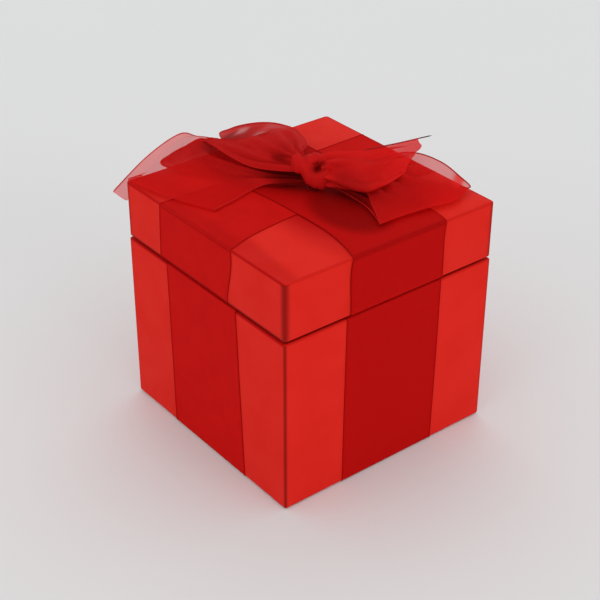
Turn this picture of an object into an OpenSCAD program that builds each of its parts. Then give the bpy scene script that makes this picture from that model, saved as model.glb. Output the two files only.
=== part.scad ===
// Square gift box with a lift-off lid: a rigid board base with a raised inner neck, a lid of the
// same outside size that slides down over the neck, ribbon strips on both and a tied ribbon bow.
// Millimetres, +Z up. The origin is the centre of the underside, where the box meets the table.
// Front is -Y, back is +Y, left is -X, right is +X.

/* [Box] */
// Outside width and depth over the paper covering
box_w = 90; // [75:1:130]
// Height of the base from the table to its rim
base_h = 66; // [45:1:120]
// Height of the lid from its rim to its top
lid_h = 21; // [16:0.5:40]
// Gap that shows between the rims of base and lid
reveal = 1.1; // [0.7:0.1:3]
// Outside radius of the base's upright corners
base_corner_r = 0.8; // [0.6:0.1:2]
// Outside radius of the lid's upright corners
lid_corner_r = 1.4; // [0.6:0.1:2.5]

/* [Boards] */
// Thickness of the base's walls and floor
base_board = 1.8; // [1.2:0.1:2.4]
// Thickness of the lid's top
lid_board = 1.6; // [1:0.1:2.2]
// Thickness of the neck's walls
neck_board = 1.5; // [1:0.1:2]

/* [Paper] */
// Thickness of the covering paper
paper = 0.2; // [0.15:0.05:0.3]
// Thickness of the corner tapes under the covering
tape = 0.15; // [0.1:0.05:0.2]
// Width of each leg of a corner tape
tape_leg = 9; // [6:0.5:12]
// How far the covering is turned in under the floor
wrap_flange = 12; // [6:0.5:20]
// How far the covering is turned in over the base's rim
base_turn_in = 15; // [8:0.5:25]
// How far the neck's paper reaches down behind the base's rim
neck_paper_tuck = 12; // [6:0.5:20]
// Thickness of the sheet glued on the underside
foot_sheet = 0.3; // [0.2:0.05:0.5]
// Distance from the underside sheet's edge to the box's edge
foot_inset = 2.5; // [1:0.5:6]
// Size of the crumb of play around the loose lining sheets
lining_play = 0.2; // [0.1:0.05:0.5]

/* [Fit] */
// Gap between the neck and the base's turned-in paper
neck_gap = 0.3; // [0.25:0.05:0.6]
// Gap between the neck and the lid's turned-in paper
lid_gap = 0.5; // [0.4:0.05:1]
// Height that the lid lifts to come clear of the box
lid_travel = 100; // [40:5:200]

/* [Ribbon] */
// Width of the ribbon
ribbon_w = 40; // [15:1:45]
// Thickness of the ribbon
ribbon_t = 0.2; // [0.1:0.05:0.25]
// How far a strip's ends are turned in round a rim or under the floor
ribbon_tuck = 7; // [4:0.5:12]
// Bend radius of a strip over an edge
ribbon_bend = 0.6; // [0.3:0.1:1]
// Sideways place of the base's front and back strips
base_strip_x = 0.5; // [-3:0.1:3]
// Sideways place of the base's left and right strips
base_strip_y = 0.1; // [-3:0.1:3]
// Sideways place of the lid's strip that runs front to back
lid_strip_x = 2; // [-3:0.1:3]
// Sideways place of the lid's strip that runs left to right
lid_strip_y = 3.5; // [-4:0.1:4]

/* [Bow] */
// Thickness of the bow's ribbon
bow_t = 0.35; // [0.25:0.05:0.5]
// Radius of the knot at its middle
knot_r = 5.4; // [4:0.1:6]
// Length of the knot along the gathered ribbon
knot_len = 8; // [6:0.1:10]
// Rounding of the knot's ends
knot_round = 1.6; // [0.5:0.1:2.5]
// Height of the knot's underside above the lid's top
knot_clear = 1.2; // [0.8:0.1:3]
// Sideways place of the knot, to the right of the lid's middle
knot_x = 2.6; // [-3:0.1:3]
// Place of the knot behind the lid's middle
knot_y = -0.8; // [-3:0.1:3]
// Direction that the knot's axis points in, seen from above
knot_turn = -30; // [-60:1:0]
// Gap between the knot's ends and the ribbon that comes out of them
root_gap = 0.4; // [0.3:0.05:1]
// Radius of the glue dab under the knot
glue_r = 2; // [2:0.1:4]

/* [Hidden] */

$fn = 48;
eps = 0.01;

// Colours
paper_red = "#d3271e";
ribbon_red = "#b5161a";
board_grey = "#a39a8c";
tape_tan = "#c9b48a";
lining_red = "#c2231c";
glue_tan = "#d9c9a0";

// Half widths from the outside in, for the base, the neck and the lid
half_w = box_w / 2;
skin = paper + tape;
base_out = half_w - skin;
base_in = base_out - base_board;
neck_out = base_in - paper - neck_gap - paper;
neck_in = neck_out - neck_board;
room_half = neck_in - paper;
lid_in = neck_out + paper + lid_gap + paper;
lid_out = half_w - skin;

// Heights from the table up
flange_z = foot_sheet + ribbon_t;
floor_z = flange_z + paper;
floor_top = floor_z + base_board;
room_z = floor_top + paper;
base_rim = base_h - paper;
lid_z = base_h + reveal;
lid_rim = lid_z + paper;
lid_top = lid_z + lid_h;
lid_board_top = lid_top - paper;
lid_ceiling = lid_board_top - lid_board;
lining_z = lid_ceiling - paper;
crossing_z = lid_top + 2 * ribbon_t;

// Middle of the bow that keeps its size, and the rest of its reach on the smallest box
bow_core = 7;
bow_reach = 38;
knot_rise = knot_r + knot_clear;

// ---------------------------------------------------------------- shared shapes

// Square of half width h with rounded corners of radius r
module rounded_square(h, r) {
  square([2 * h, 2 * (h - r)], center = true);
  square([2 * (h - r), 2 * h], center = true);
  for (sx = [-1, 1], sy = [-1, 1]) translate([sx * (h - r), sy * (h - r)]) circle(r);
}

// Square frame of even wall between half widths h_out and h_in, with rounded outer corners
module square_frame(h_out, h_in, r, z0, z1) {
  translate([0, 0, z0]) linear_extrude(z1 - z0) difference() {
    rounded_square(h_out, r);
    square(2 * h_in, center = true);
  }
}

// Thin skin round a rounded square, of thickness t
module square_skin(h_out, r, t, z0, z1) {
  translate([0, 0, z0]) linear_extrude(z1 - z0) difference() {
    rounded_square(h_out, r);
    rounded_square(h_out - t, r - t);
  }
}

// One wall cut out of a square frame. Front and back walls run the full width; the side walls
// stand between them.
module wall(side, h_out, h_in, r, z0, z1) {
  long = 2 * h_out + 2;
  turn = side == "front" ? 0 : side == "back" ? 180 : side == "left" ? -90 : 90;
  full = side == "front" || side == "back";
  span = full ? long : 2 * h_in;
  intersection() {
    square_frame(h_out, h_in, r, z0, z1);
    rotate([0, 0, turn]) translate([-span / 2, -h_out - 1, z0 - 1])
      cube([span, h_out + 1 - h_in, z1 - z0 + 2]);
  }
}

// Four corner tapes, each an angle of two legs round an upright corner
module corner_tapes(h_out, r, z0, z1) {
  leg_start = h_out - tape_leg;
  intersection() {
    square_skin(h_out, r, tape, z0, z1);
    for (sx = [-1, 1], sy = [-1, 1])
      translate([sx * (h_out + leg_start) / 2, sy * (h_out + leg_start) / 2, (z0 + z1) / 2])
        cube([tape_leg + eps, tape_leg + eps, z1 - z0 + 2], center = true);
  }
}

// Points of an arc round c, from angle a0 to a1
function arc(c, r, a0, a1, n = 5) =
  [for (i = [0:n]) c + r * [cos(a0 + (a1 - a0) * i / n), sin(a0 + (a1 - a0) * i / n)]];

// Outline of a ribbon strip in section, in x (outwards) and z (up). The strip hangs on the face
// at x = face from z_low to z_high, bends round both edges and ends at x = in_low and x = in_high.
// A tab turns up at the low end, or down at the high end, where tab_low or tab_high is above 0.
function strip_side(face, z_low, z_high, in_low, in_high, tab_low, tab_high) =
  let (t = ribbon_t, r = ribbon_bend)
  concat(
    [[in_high, z_high + t]],
    arc([face + t - r, z_high + t - r], r, 90, 0),
    arc([face + t - r, z_low - t + r], r, 0, -90),
    tab_low > 0
      ? [[in_low - t, z_low - t], [in_low - t, z_low + tab_low], [in_low, z_low + tab_low],
         [in_low, z_low]]
      : [[in_low, z_low - t], [in_low, z_low]],
    [[face, z_low], [face, z_high]],
    tab_high > 0
      ? [[in_high + t, z_high], [in_high + t, z_high - tab_high], [in_high, z_high - tab_high]]
      : [[in_high, z_high]]);

// A section in x and z, extruded along y by the ribbon's width and centred on y = off
module ribbon_run(off) {
  translate([0, off + ribbon_w / 2, 0]) rotate([90, 0, 0]) linear_extrude(ribbon_w) children();
}

// One ribbon strip down a wall of the base: turned in over the rim and in under the floor
module base_strip(turn, off) {
  color(ribbon_red) rotate([0, 0, turn]) ribbon_run(off)
    polygon(strip_side(half_w, flange_z, base_h, half_w - ribbon_tuck,
      base_in - paper - ribbon_t, 0, ribbon_tuck));
}

// One ribbon strip over the lid at height lift above its top, turned in round both rims
module lid_strip(turn, off, lift) {
  side = strip_side(half_w + lift, lid_z, lid_top + lift, lid_in - paper, 0, ribbon_tuck, 0);
  last = len(side) - 1;
  other = [for (i = [last - 1:-1:1]) [-side[i].x, side[i].y]];
  color(ribbon_red) rotate([0, 0, turn]) ribbon_run(off) polygon(concat(side, other));
}

// ---------------------------------------------------------------- ribbon of the bow

// Point on a smooth curve through the points p, at u from 0 to 1
function spline(p, u) =
  let (n = len(p) - 1, s = min(u * n, n - eps * eps), i = floor(s), f = s - i,
       a = p[max(i - 1, 0)], b = p[i], c = p[i + 1], d = p[min(i + 2, n)])
  0.5 * (2 * b + f * (c - a) + f * f * (2 * a - 5 * b + 4 * c - d)
    + f * f * f * (3 * b - a - 3 * c + d));

// Grid of points on the surface whose rails are the rows of net: nu steps along, nv across
function net_grid(net, nu, nv) =
  [for (i = [0:nu]) let (row = [for (rail = net) spline(rail, i / nu)])
    [for (j = [0:nv]) spline(row, j / nv)]];

function unit(v) = v / max(norm(v), eps * eps);

// Direction square to the grid g at step i along and j across
function grid_normal(g, i, j) =
  let (nu = len(g) - 1, nv = len(g[0]) - 1)
  unit(cross(g[min(i + 1, nu)][j] - g[max(i - 1, 0)][j],
    g[i][min(j + 1, nv)] - g[i][max(j - 1, 0)]));

// Closed sheet of thickness t whose middle surface is the grid g
module sheet(g, t) {
  nu = len(g) - 1;
  nv = len(g[0]) - 1;
  row = nv + 1;
  half = (nu + 1) * row;
  points = [for (side = [0.5, -0.5], i = [0:nu], j = [0:nv])
    g[i][j] + side * t * grid_normal(g, i, j)];
  faces = concat(
    [for (i = [0:nu - 1], j = [0:nv - 1]) let (k = i * row + j)
      each [[k, k + row, k + row + 1], [k, k + row + 1, k + 1]]],
    [for (i = [0:nu - 1], j = [0:nv - 1]) let (k = half + i * row + j)
      each [[k, k + row + 1, k + row], [k, k + 1, k + row + 1]]],
    [for (i = [0:nu - 1], j = [0, nv]) let (k = i * row + j, flip = j == 0)
      each flip
        ? [[k, half + k + row, k + row], [k, half + k, half + k + row]]
        : [[k, k + row, half + k + row], [k, half + k + row, half + k]]],
    [for (j = [0:nv - 1], i = [0, nu]) let (k = i * row + j, flip = i == 0)
      each flip
        ? [[k, k + 1, half + k + 1], [k, half + k + 1, half + k]]
        : [[k, half + k + 1, k + 1], [k, half + k, half + k + 1]]]);
  polyhedron(points, faces);
}

// A rail point of the bow. Points further than bow_core from the lid's middle spread with the
// box, so that the point 45 mm out stays level with its edge.
function spread(p) =
  let (d = norm([p.x, p.y]), far = bow_core + (d - bow_core) * (half_w - bow_core) / bow_reach)
  d <= bow_core ? p : [p.x * far / d, p.y * far / d, p.z];

// Where a rail leaves the knot: side is -1 for its left end and 1 for its right end, across runs
// to the back and up is above the knot's axis
function root(side, across, up) =
  let (ca = cos(knot_turn), sa = sin(knot_turn), along = side * (knot_len / 2 + root_gap))
  [knot_x + along * ca - across * sa, knot_y + along * sa + across * ca, knot_rise + up];

function rail(from, path, to = undef) =
  concat([from], [for (p = path) spread(p)], is_undef(to) ? [] : [to]);

// A sheet of the bow, given by its rails above the lid's top
module bow_sheet(rails, nu) {
  color(ribbon_red) translate([0, 0, lid_top]) sheet(net_grid(rails, nu, 8), bow_t);
}

// Loop over the back edge: five lines along the ribbon from its left wire to its far one, each
// from the top of the knot out to the turn and back underneath. The far wire stands up behind
// the edge of the lid, and the left end of the turn sags beside it.
loop_back_rails = [
  rail(root(-1, -1.4, 1.6), [[-7.9, 6.6, 7.9], [-12.2, 16, 7.1], [-13.1, 27, 6.9], [-14.3, 36, 7.9],
    [-14.4, 43, 8.2], [-18.8, 44.8, 6.2], [-26.5, 44.6, 4.2], [-29.2, 42.6, 1.9], [-22, 30, 0.95],
    [-12, 15, 1]], root(-1, -1.2, -3.2)),
  rail(root(-1, -0.2, 2.8), [[-5.6, 10, 8.9], [-8.2, 20, 7.9], [-9.2, 31, 7.1], [-9.8, 38.5, 7.4],
    [-10.3, 44, 6.9], [-13.5, 45, 5], [-19, 44.4, 3.2], [-21, 42, 1.5], [-15, 30, 0.95],
    [-8, 15, 1]], root(-1, -0.2, -3.4)),
  rail(root(-1, 1, 3.2), [[-2.2, 12, 9.5], [-1.4, 23, 8.3], [-0.8, 33, 7.3], [0.8, 39, 6.4],
    [-3, 42, 5.8], [-7.5, 43.8, 4.2], [-12, 43.8, 2.9], [-13, 41, 1.4], [-9, 28, 1],
    [-4.5, 14, 1.1]], root(-1, 0.8, -3.5)),
  rail(root(-1, 2.2, 2.8), [[4.6, 12.6, 8.9], [9.5, 22.5, 7], [14.6, 32, 5], [16.4, 39.4, 3.9],
    [7.5, 41, 2.7], [0.5, 43.6, 2.7], [-5, 44, 2.2], [-6.5, 40.5, 1.2], [-4, 27, 1.05],
    [-2, 14, 1.1]], root(-1, 1.8, -3.4)),
  rail(root(-1, 2.9, 1.2), [[6.6, 12, 8.5], [14.6, 19, 6.9], [20.7, 29.2, 4.3], [25.4, 40.6, 1.8],
    [19.8, 45, 4.1], [9.3, 45, 6.6], [0, 45, 7.2], [-4.8, 44.8, 5.4], [0, 30, 1],
    [0, 14, 1.1]], root(-1, 2.8, -3.2))];

// Loop to the front right: five lines along the ribbon from its left wire to its right one, from
// the knot out to the turn, which lies flat along the front, and back underneath
loop_right_rails = [
  rail(root(1, -3.2, 0.2), [[8.4, -12, 4.6], [10.1, -18.4, 3.9], [7.3, -25, 2.7], [2.7, -34, 1.9],
    [2, -35.2, 1.5], [4.5, -30, 1], [7, -20, 1]], root(1, -3, -2.8)),
  rail(root(1, -2, 1.2), [[12, -11.4, 5.3], [15.4, -19, 4.6], [14.8, -27.6, 3.4], [12.2, -34, 2.1],
    [12, -35.4, 1.5], [13.4, -30, 1], [12, -19, 1]], root(1, -1.8, -3.2)),
  rail(root(1, -0.6, 1.4), [[15.6, -9.6, 5.4], [22, -17.6, 4.8], [23.5, -26.6, 3.7], [22, -34.2, 2.4],
    [22, -35.8, 1.6], [22, -29, 1], [17, -16, 1]], root(1, -0.5, -3.4)),
  rail(root(1, 0.8, 1.2), [[19.6, -7.6, 5.5], [30, -13.6, 5], [34, -23.6, 4], [32.5, -34.2, 2.6],
    [32.6, -36, 1.7], [31, -27, 0.9], [23, -13, 1]], root(1, 0.8, -3.2)),
  rail(root(1, 2.2, 0.2), [[24, -4.4, 5.4], [40, -6.4, 5], [44.8, -17, 4.6], [44.8, -28, 2.9],
    [43, -34, 2], [39, -26, 0.85], [28, -11, 0.9]], root(1, 2, -2.8))];

// Left tail: six lines along the ribbon from its near edge, which lies on the crossing ribbon,
// to its far wire, which stands up behind the edge of the lid
tail_left_rails = [
  rail(root(-1, -3, -1.2), [[-7.2, 5.5, 3.3], [-10.5, 10.4, 1.8], [-15.5, 11.2, 0.9], [-24.3, 9, 0.75],
    [-34.4, 7.2, 0.75]]),
  rail(root(-1, -1.8, -1.5), [[-8, 9.4, 3.4], [-13.5, 18, 2.5], [-20.5, 21, 1.9], [-30, 20, 1.4],
    [-39.6, 19.5, 1]]),
  rail(root(-1, -0.6, -1.6), [[-8.8, 12, 3.8], [-15, 25, 3.4], [-21.5, 31, 4], [-33, 32, 2.6],
    [-43, 30, 1.3]]),
  rail(root(-1, 0.6, -1.4), [[-9.2, 13.4, 4.1], [-15.2, 30, 4.2], [-21, 39, 7], [-32.5, 41, 4.1],
    [-46.2, 40.5, 0.9]]),
  rail(root(-1, 1.6, -1), [[-9.3, 14, 4.4], [-15.3, 31, 4.7], [-20.6, 43.4, 9], [-33.6, 45.2, 4.8],
    [-47.2, 45.6, -0.3]]),
  rail(root(-1, 2.4, -0.6), [[-9.4, 14.6, 4.6], [-15.4, 31.6, 5.1], [-20.1, 46.2, 10.4],
    [-34, 47.8, 5.1], [-48.1, 49, -4.8]])];

// Right tail, which lies rolled on top: its far wire, the crown, the fold along its near side
// and the wire tucked in below
tail_right_rails = [
  rail(root(1, 3.2, 1.6), [[13, -0.6, 9.5], [21, -3.6, 10.5], [32, -7.3, 10.9], [41.9, -8.9, 10.9]]),
  rail(root(1, 1.6, 3.6), [[13, -5.4, 10.7], [22, -8.4, 10.7], [32, -11, 9.9], [41.2, -11.6, 8.7]]),
  rail(root(1, -0.8, 3.7), [[9.5, -12.5, 9.9], [18, -15, 9.3], [27, -14.6, 8.5], [36.8, -12.8, 6.9]]),
  rail(root(1, -3.2, 2.8), [[5.2, -18.6, 6.7], [11.5, -21.6, 6.1], [20, -19.8, 5.8], [29.4, -17.6, 5.5]]),
  rail(root(1, -1.6, 2.6), [[10.5, -13, 6.6], [17, -14.2, 6.5], [26, -12.4, 6.3], [35.5, -11, 6.3]])];

// ---------------------------------------------------------------- base

module base_floor_board() {
  color(board_grey) translate([-base_in, -base_in, floor_z])
    cube([2 * base_in, 2 * base_in, base_board]);
}

module base_wall(side) {
  color(board_grey) wall(side, base_out, base_in, base_corner_r - skin, floor_z, base_rim);
}

module base_corner_tapes() {
  color(tape_tan) corner_tapes(half_w - paper, base_corner_r - paper, floor_z, base_rim);
}

// Covering paper: up the outside, over the rim and down inside, and in under the floor
module base_wrap() {
  color(paper_red) union() {
    square_skin(half_w, base_corner_r, paper, flange_z, base_h);
    square_frame(half_w, base_in - paper, base_corner_r, base_rim, base_h);
    square_frame(base_in, base_in - paper, eps, base_h - base_turn_in, base_h);
    square_frame(half_w, half_w - wrap_flange, base_corner_r, flange_z, floor_z);
  }
}

module base_foot_sheet() {
  color(paper_red) translate([0, 0, foot_sheet / 2])
    cube([box_w - 2 * foot_inset, box_w - 2 * foot_inset, foot_sheet], center = true);
}

module base_floor_lining() {
  lining_w = 2 * (base_in - lining_play);
  color(lining_red) translate([-lining_w / 2, -lining_w / 2, floor_top])
    cube([lining_w, lining_w, paper]);
}

// ---------------------------------------------------------------- neck

module neck_wall(side) {
  color(board_grey) wall(side, neck_out, neck_in, eps, room_z, lining_z - paper);
}

// Paper over the neck: tucked behind the base's rim, over the top edge and down the whole inside
module neck_wrap() {
  color(lining_red) union() {
    square_frame(neck_out + paper, neck_out, eps, base_h - neck_paper_tuck, lining_z);
    square_frame(neck_out + paper, room_half, eps, lining_z - paper, lining_z);
    square_frame(neck_in, room_half, eps, room_z, lining_z);
  }
}

// ---------------------------------------------------------------- lid

module lid_top_board() {
  color(board_grey) translate([0, 0, lid_ceiling]) linear_extrude(lid_board)
    rounded_square(lid_out, lid_corner_r - skin);
}

module lid_wall_board(side) {
  color(board_grey) wall(side, lid_out, lid_in, lid_corner_r - skin, lid_rim, lid_ceiling);
}

module lid_corner_tapes() {
  color(tape_tan) corner_tapes(half_w - paper, lid_corner_r - paper, lid_rim, lid_ceiling);
}

// Covering paper: over the top, down the outside, round the rim and up inside to the ceiling
module lid_wrap() {
  color(paper_red) union() {
    square_skin(half_w, lid_corner_r, paper, lid_z, lid_top);
    translate([0, 0, lid_board_top]) linear_extrude(paper) rounded_square(half_w, lid_corner_r);
    square_frame(half_w, lid_in - paper, lid_corner_r, lid_z, lid_rim);
    square_frame(lid_in, lid_in - paper, eps, lid_z, lining_z);
  }
}

module lid_lining() {
  lining_w = 2 * (lid_in - lining_play);
  color(lining_red) translate([-lining_w / 2, -lining_w / 2, lining_z])
    cube([lining_w, lining_w, paper]);
}

// ---------------------------------------------------------------- bow

module bow_glue_dab() {
  color(glue_tan) translate([knot_x, knot_y, crossing_z])
    cylinder(r = glue_r, h = lid_top + knot_clear - crossing_z);
}

// Tight wrap of ribbon round the gathered middle: a short barrel lying on its side
module bow_knot() {
  ends = knot_len / 2 - knot_round;
  color(ribbon_red) translate([knot_x, knot_y, lid_top + knot_rise]) rotate([0, 90, knot_turn])
    rotate_extrude() polygon(concat([[0, -knot_len / 2]],
      arc([knot_r - knot_round, -ends], knot_round, -90, 0),
      arc([knot_r - knot_round, ends], knot_round, 0, 90), [[0, knot_len / 2]]));
}

module bow_loop_back() {
  bow_sheet(loop_back_rails, 33);
}

module bow_loop_right() {
  bow_sheet(loop_right_rails, 32);
}

module bow_tail_left() {
  bow_sheet(tail_left_rails, 16);
}

module bow_tail_right() {
  bow_sheet(tail_right_rails, 16);
}

// ---------------------------------------------------------------- nodes

base_floor_board();
base_wall("front");  // base_front_board
base_wall("back");  // base_back_board
base_wall("left");  // base_left_board
base_wall("right");  // base_right_board
base_corner_tapes();
base_wrap();
base_foot_sheet();
base_floor_lining();
neck_wall("front");  // neck_front_board
neck_wall("back");  // neck_back_board
neck_wall("left");  // neck_left_board
neck_wall("right");  // neck_right_board
neck_wrap();
base_strip(-90, base_strip_x);  // base_ribbon_front
base_strip(90, -base_strip_x);  // base_ribbon_back
base_strip(180, -base_strip_y);  // base_ribbon_left
base_strip(0, base_strip_y);  // base_ribbon_right
lid_top_board();
lid_wall_board("front");  // lid_front_board
lid_wall_board("back");  // lid_back_board
lid_wall_board("left");  // lid_left_board
lid_wall_board("right");  // lid_right_board
lid_corner_tapes();
lid_wrap();
lid_lining();
lid_strip(0, lid_strip_y, 0);  // lid_ribbon_across
lid_strip(90, -lid_strip_x, ribbon_t);  // lid_ribbon_along
bow_glue_dab();
bow_knot();
bow_loop_back();
bow_loop_right();
bow_tail_left();
bow_tail_right();
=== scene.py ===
"""Finish of the covered gift box: papers, ribbon strips, the tied bow, its table and its light."""
import bpy
import bmesh
import numpy as np
from mathutils import Matrix, Vector


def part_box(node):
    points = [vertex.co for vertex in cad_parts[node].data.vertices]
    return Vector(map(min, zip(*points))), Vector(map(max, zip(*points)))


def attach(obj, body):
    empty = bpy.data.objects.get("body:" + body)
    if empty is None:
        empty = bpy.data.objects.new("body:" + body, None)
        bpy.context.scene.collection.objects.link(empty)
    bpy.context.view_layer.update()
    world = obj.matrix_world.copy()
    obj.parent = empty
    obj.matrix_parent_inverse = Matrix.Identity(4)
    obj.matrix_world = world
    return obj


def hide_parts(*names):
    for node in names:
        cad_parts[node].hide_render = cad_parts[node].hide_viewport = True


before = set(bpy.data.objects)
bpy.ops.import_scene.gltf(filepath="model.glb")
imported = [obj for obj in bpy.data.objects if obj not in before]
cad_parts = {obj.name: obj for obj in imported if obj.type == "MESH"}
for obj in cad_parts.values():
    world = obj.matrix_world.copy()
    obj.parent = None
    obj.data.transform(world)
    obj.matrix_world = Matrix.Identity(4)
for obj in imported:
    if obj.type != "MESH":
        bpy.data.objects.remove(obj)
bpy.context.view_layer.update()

# ------------------------------------------------------------------ the viewpoint
# A camera a little above the box, in front of the upright corner between its left and front
# faces. Its turn, tilt and roll are in degrees, its place is in metres, and the length of its
# lens and the width of its sensor are in millimetres.
TURN, TILT, ROLL = np.radians([-38.3, 31.47, 0.11])
EYE = Vector((-0.2696, -0.3371, 0.3086))
LENS_LONG, SENSOR_WIDE = 84.72, 36.0

towards_eye = Vector((np.sin(TURN) * np.cos(TILT), -np.cos(TURN) * np.cos(TILT), np.sin(TILT)))
level_right = (-towards_eye).cross(Vector((0, 0, 1))).normalized()
level_up = level_right.cross(-towards_eye)
right = np.cos(ROLL) * level_right + np.sin(ROLL) * level_up
up = np.cos(ROLL) * level_up - np.sin(ROLL) * level_right

lens = bpy.data.cameras.new("eye")
lens.sensor_width = SENSOR_WIDE
lens.lens = LENS_LONG
lens.clip_start = 0.01
eye = bpy.data.objects.new("eye", lens)
axes = Matrix((right, up, towards_eye)).transposed()
eye.matrix_world = Matrix.Translation(EYE) @ axes.to_4x4()
bpy.context.scene.collection.objects.link(eye)
bpy.context.scene.camera = eye

# ------------------------------------------------------------------ the table and the light
# A plain pale matt table top. A pale room lights the box from all round. A soft lamp hangs high
# behind it, and one more stands low to each side in front. Their places and sizes are in metres;
# the clouds in the table's colour and everything that comes after are measured in millimetres.
MM = 0.001
TABLE_HALF = 3.0
TABLE_COLOUR, TABLE_CLOUD = (0.82, 0.825, 0.83, 1), (0.8077, 0.812625, 0.81755, 1)
CLOUD_SIZE = 160.0
ROOM_LIGHT = 0.79
LAMPS = dict(behind=dict(place=(1.1, 1.45, 2.4), aim=(0, 0, 0.05), size=2.0, power=6.0),
             from_left=dict(place=(-2.9, -0.4, 0.9), aim=(0, 0, 0.05), size=1.5, power=6.0),
             from_right=dict(place=(0.4, -2.9, 0.9), aim=(0, 0, 0.05), size=1.5, power=12.0))


class Value:
    """One output of a finish's nodes. Arithmetic on it adds Math nodes."""

    def __init__(self, finish, socket):
        self.finish, self.socket = finish, socket

    def math(self, operation, *inputs):
        return self.finish.node("Math", dict(operation=operation), dict(enumerate(inputs)))

    def __add__(self, other):
        return self.math("ADD", self, other)

    def __sub__(self, other):
        return self.math("SUBTRACT", self, other)

    def __rsub__(self, other):
        return self.math("SUBTRACT", other, self)

    def __mul__(self, other):
        return self.math("MULTIPLY", self, other)

    def __truediv__(self, other):
        return self.math("DIVIDE", self, other)

    def __neg__(self):
        return self * -1.0

    def __abs__(self):
        return self.math("ABSOLUTE", self)

    __radd__, __rmul__ = __add__, __mul__

    def least(self, other):
        return self.math("MINIMUM", self, other)

    def most(self, other):
        return self.math("MAXIMUM", self, other)

    def squared(self):
        return self * self

    def wave(self):
        """Sine of a number."""
        return self.math("SINE", self)

    def of_power(self, base):
        """base raised to this number."""
        return self.math("POWER", base, self)

    def step(self, low, high, start=0.0, end=1.0):
        """Smooth step from start, where the number is low, to end, where it is high."""
        return self.finish.node("MapRange", dict(interpolation_type="SMOOTHSTEP"),
                                {"Value": self, "From Min": low, "From Max": high,
                                 "To Min": start, "To Max": end})


class Finish:
    """A material while its nodes are laid out round one Principled shader."""

    def __init__(self, name):
        self.material = bpy.data.materials.new(name)
        self.material.use_nodes = True
        self.tree = self.material.node_tree
        self.shader = self.tree.nodes["Principled BSDF"]

    def feed(self, socket, value):
        if isinstance(value, Value):
            self.tree.links.new(value.socket, socket)
        else:
            socket.default_value = value

    def node(self, kind, settings=None, inputs=None, output=0):
        """Add a node of this kind, with its settings and then its inputs; gives one output."""
        node = self.tree.nodes.new("ShaderNode" + kind)
        for key, value in (settings or {}).items():
            setattr(node, key, value)
        for key, value in (inputs or {}).items():
            self.feed(node.inputs[key], value)
        return Value(self, node.outputs[output])

    def place(self):
        """The point on the surface, in millimetres, as a vector and as three numbers."""
        metres = self.node("TexCoord", output="Object")
        point = self.node("VectorMath", dict(operation="SCALE"), {0: metres, "Scale": 1 / MM})
        return point, [self.node("SeparateXYZ", None, {0: point}, axis) for axis in "XYZ"]

    def number(self, name):
        """The number that the surface holds under this name."""
        return self.node("Attribute", dict(attribute_name=name), output="Fac")

    def noise(self, point, size, detail=2.0, stretch=(1, 1, 1)):
        """Cloudy numbers from 0 to 1 with spots of this size in millimetres."""
        scale = tuple(share / size for share in stretch)
        scaled = self.node("Mapping", None, {"Vector": point, "Scale": scale})
        return self.node("TexNoise", None, {"Vector": scaled, "Scale": 1.0, "Detail": detail})

    def blend(self, share, first, second):
        """Colour that goes from first, where share is 0, to second, where it is 1."""
        mixed = self.tree.nodes.new("ShaderNodeMix")
        mixed.data_type = "RGBA"
        for socket, value in zip((mixed.inputs[0], mixed.inputs[6], mixed.inputs[7]),
                                 (share, first, second)):
            self.feed(socket, value)
        return Value(self, mixed.outputs[2])

    def bump(self, height, distance, strength=1.0):
        """Normal of a surface raised by height times distance, in millimetres."""
        return self.node("Bump", None, {"Height": height, "Distance": distance * MM,
                                        "Strength": strength})

    def surface(self, **sockets):
        """Feed the Principled shader's sockets and give the material."""
        for name, value in sockets.items():
            self.feed(self.shader.inputs[name.replace("_", " ")], value)
        return self.material


table = Finish("table_top")
point, _ = table.place()
table_finish = table.surface(
    Base_Color=table.blend(table.noise(point, CLOUD_SIZE), TABLE_COLOUR, TABLE_CLOUD),
    Roughness=0.9, Specular_IOR_Level=0.1)

corners = np.array([[-1, -1], [1, -1], [1, 1], [-1, 1]]) * TABLE_HALF
table_mesh = bpy.data.meshes.new("table_top")
table_mesh.from_pydata(np.column_stack([corners, np.zeros(4)]).tolist(), [], [(0, 1, 2, 3)])
table_mesh.materials.append(table_finish)
table_top = bpy.data.objects.new("table_top", table_mesh)
bpy.context.scene.collection.objects.link(table_top)

room = bpy.data.worlds.new("room")
room.use_nodes = True
room.node_tree.nodes["Background"].inputs["Color"].default_value = (1.0, 1.0, 1.0, 1)
room.node_tree.nodes["Background"].inputs["Strength"].default_value = ROOM_LIGHT
bpy.context.scene.world = room
bpy.context.scene.view_settings.view_transform = "Standard"

for name, lamp in LAMPS.items():
    soft = bpy.data.lights.new(name, "AREA")
    soft.size, soft.energy = lamp["size"], lamp["power"]
    holder = bpy.data.objects.new(name, soft)
    facing = (Vector(lamp["place"]) - Vector(lamp["aim"])).to_track_quat("Z", "Y")
    holder.matrix_world = Matrix.Translation(lamp["place"]) @ facing.to_matrix().to_4x4()
    bpy.context.scene.collection.objects.link(holder)

# ------------------------------------------------------------------ boards, tapes and glue
# Grey board of pressed waste paper with darker fibres in it, gummed brown tape over the upright
# corners and a dab of glue, painted a near-black red as painted shade under the knot, where its
# edge shows. All of them are hidden in the finished box, but for that edge of the glue.
BOARD, BOARD_FIBRE = (0.36, 0.32, 0.27, 1), (0.27, 0.235, 0.19, 1)
TAPE, TAPE_DARK = (0.58, 0.45, 0.25, 1), (0.50, 0.38, 0.20, 1)
GLUE_IN_SHADE = (0.12, 0.0040, 0.0030, 1)


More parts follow.
